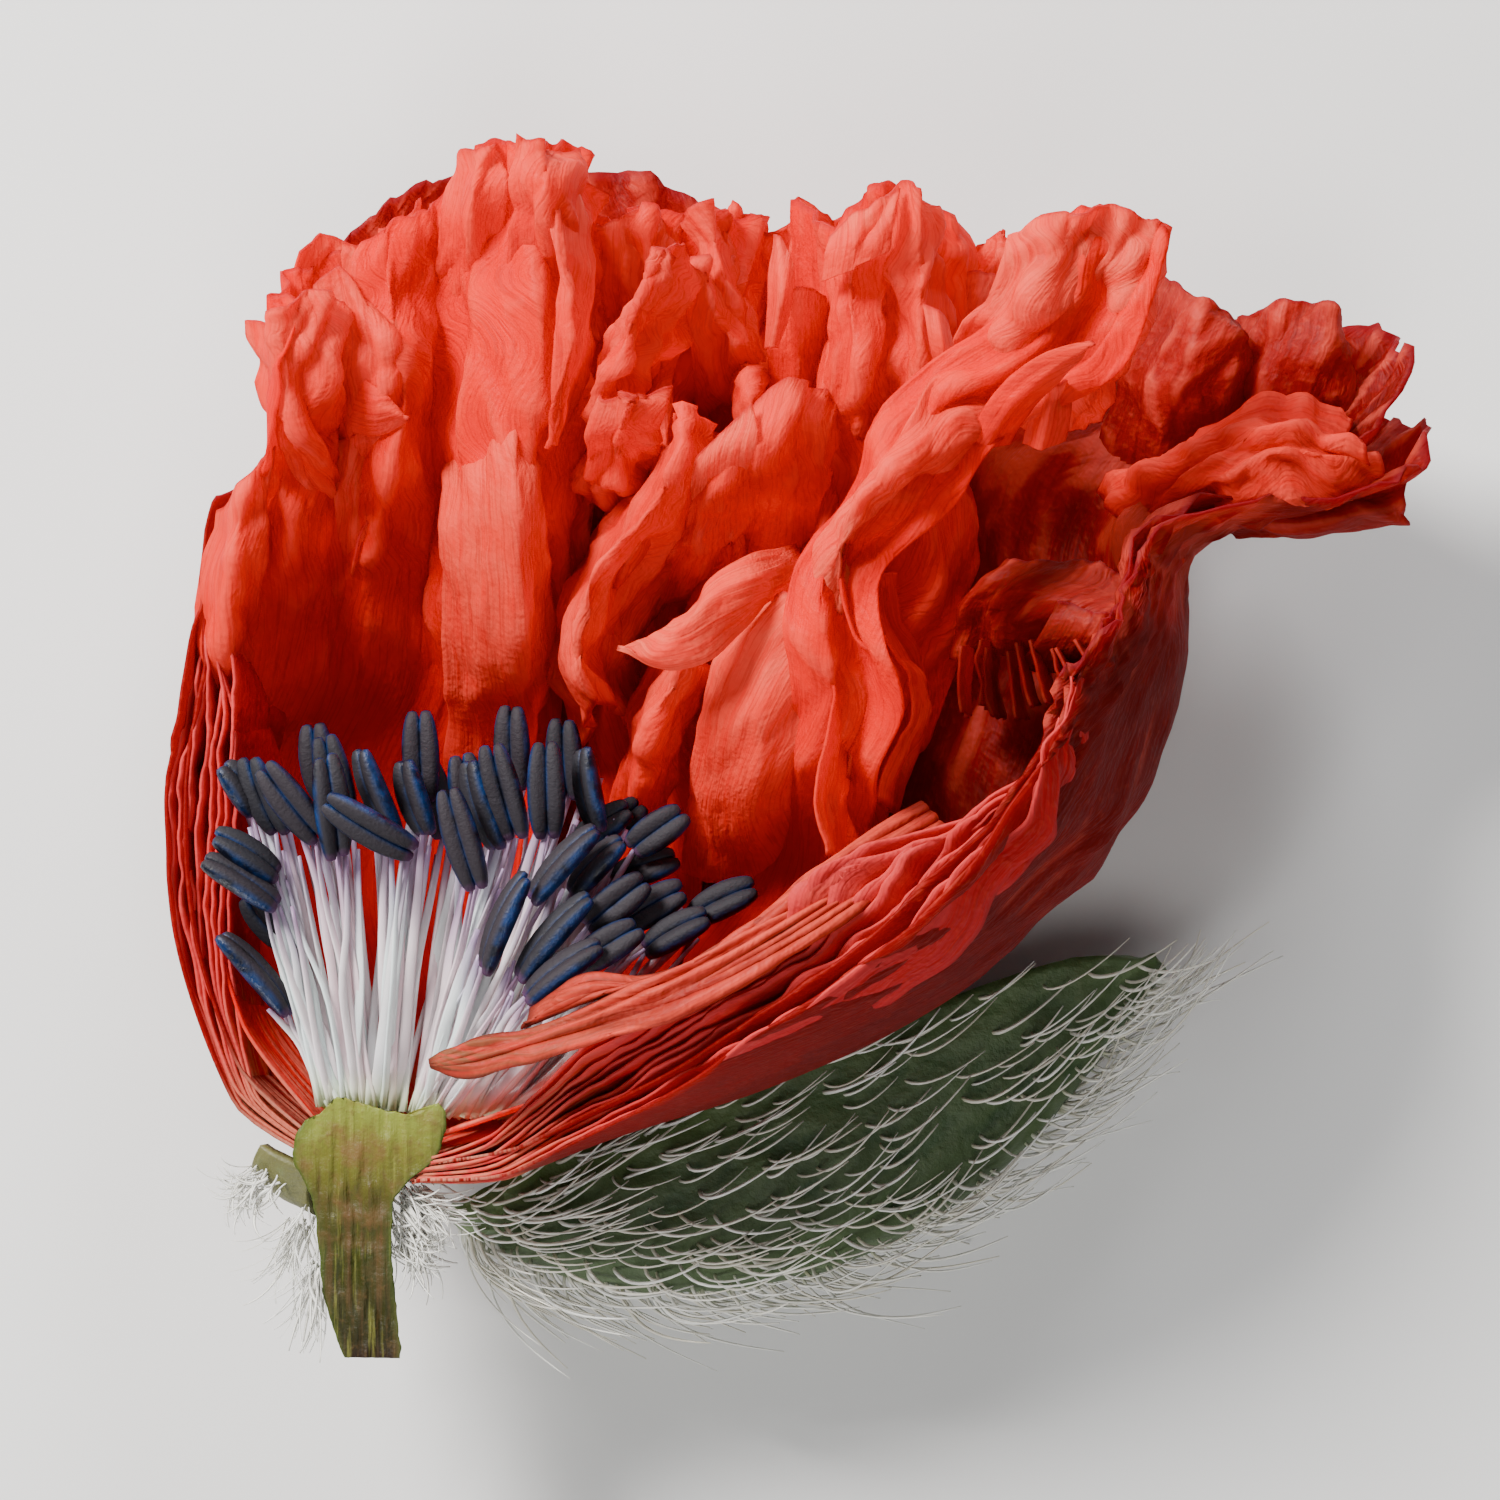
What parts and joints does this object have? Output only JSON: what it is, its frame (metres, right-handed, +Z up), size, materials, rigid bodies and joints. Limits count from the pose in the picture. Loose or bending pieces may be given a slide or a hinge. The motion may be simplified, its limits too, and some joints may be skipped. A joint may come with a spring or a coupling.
{
  "type": "poppy flower",
  "caption": "Half of an oriental poppy flower just opening, cut lengthways: crumpled red petals, dark stamens, a bristly green sepal and a short cut stem.",
  "frame": {"origin": "the middle of the flat spot on the back of the bud, where it rests on the surface", "axes": "+Z up, out of the open cut face; +X from the receptacle towards the side of the sepal; +Y from the stem towards the petals' edges"},
  "size_m": [0.0637, 0.0612, 0.0256],
  "materials": {
    "petal": "crumpled, silky, lets light through",
    "stamen": "velvety blue-grey anthers on white filaments",
    "stem": "moist cut flesh",
    "sepal": "matt green with white bristles"
  },
  "bodies": {
    "root": {"petal_cut_strip": "petal", "petal_front_right": "petal", "petal_inner_left": "petal", "petal_inner_middle": "petal", "petal_inner_right": "petal", "petal_middle_left": "petal", "petal_middle_right": "petal", "petal_outer_left": "petal", "petal_outer_right": "petal", "sepal": "sepal", "sepal_scar_left": "sepal", "stamens_left": "stamen", "stamens_right": "stamen", "stem_receptacle": "stem"}
  },
  "joints": []
}
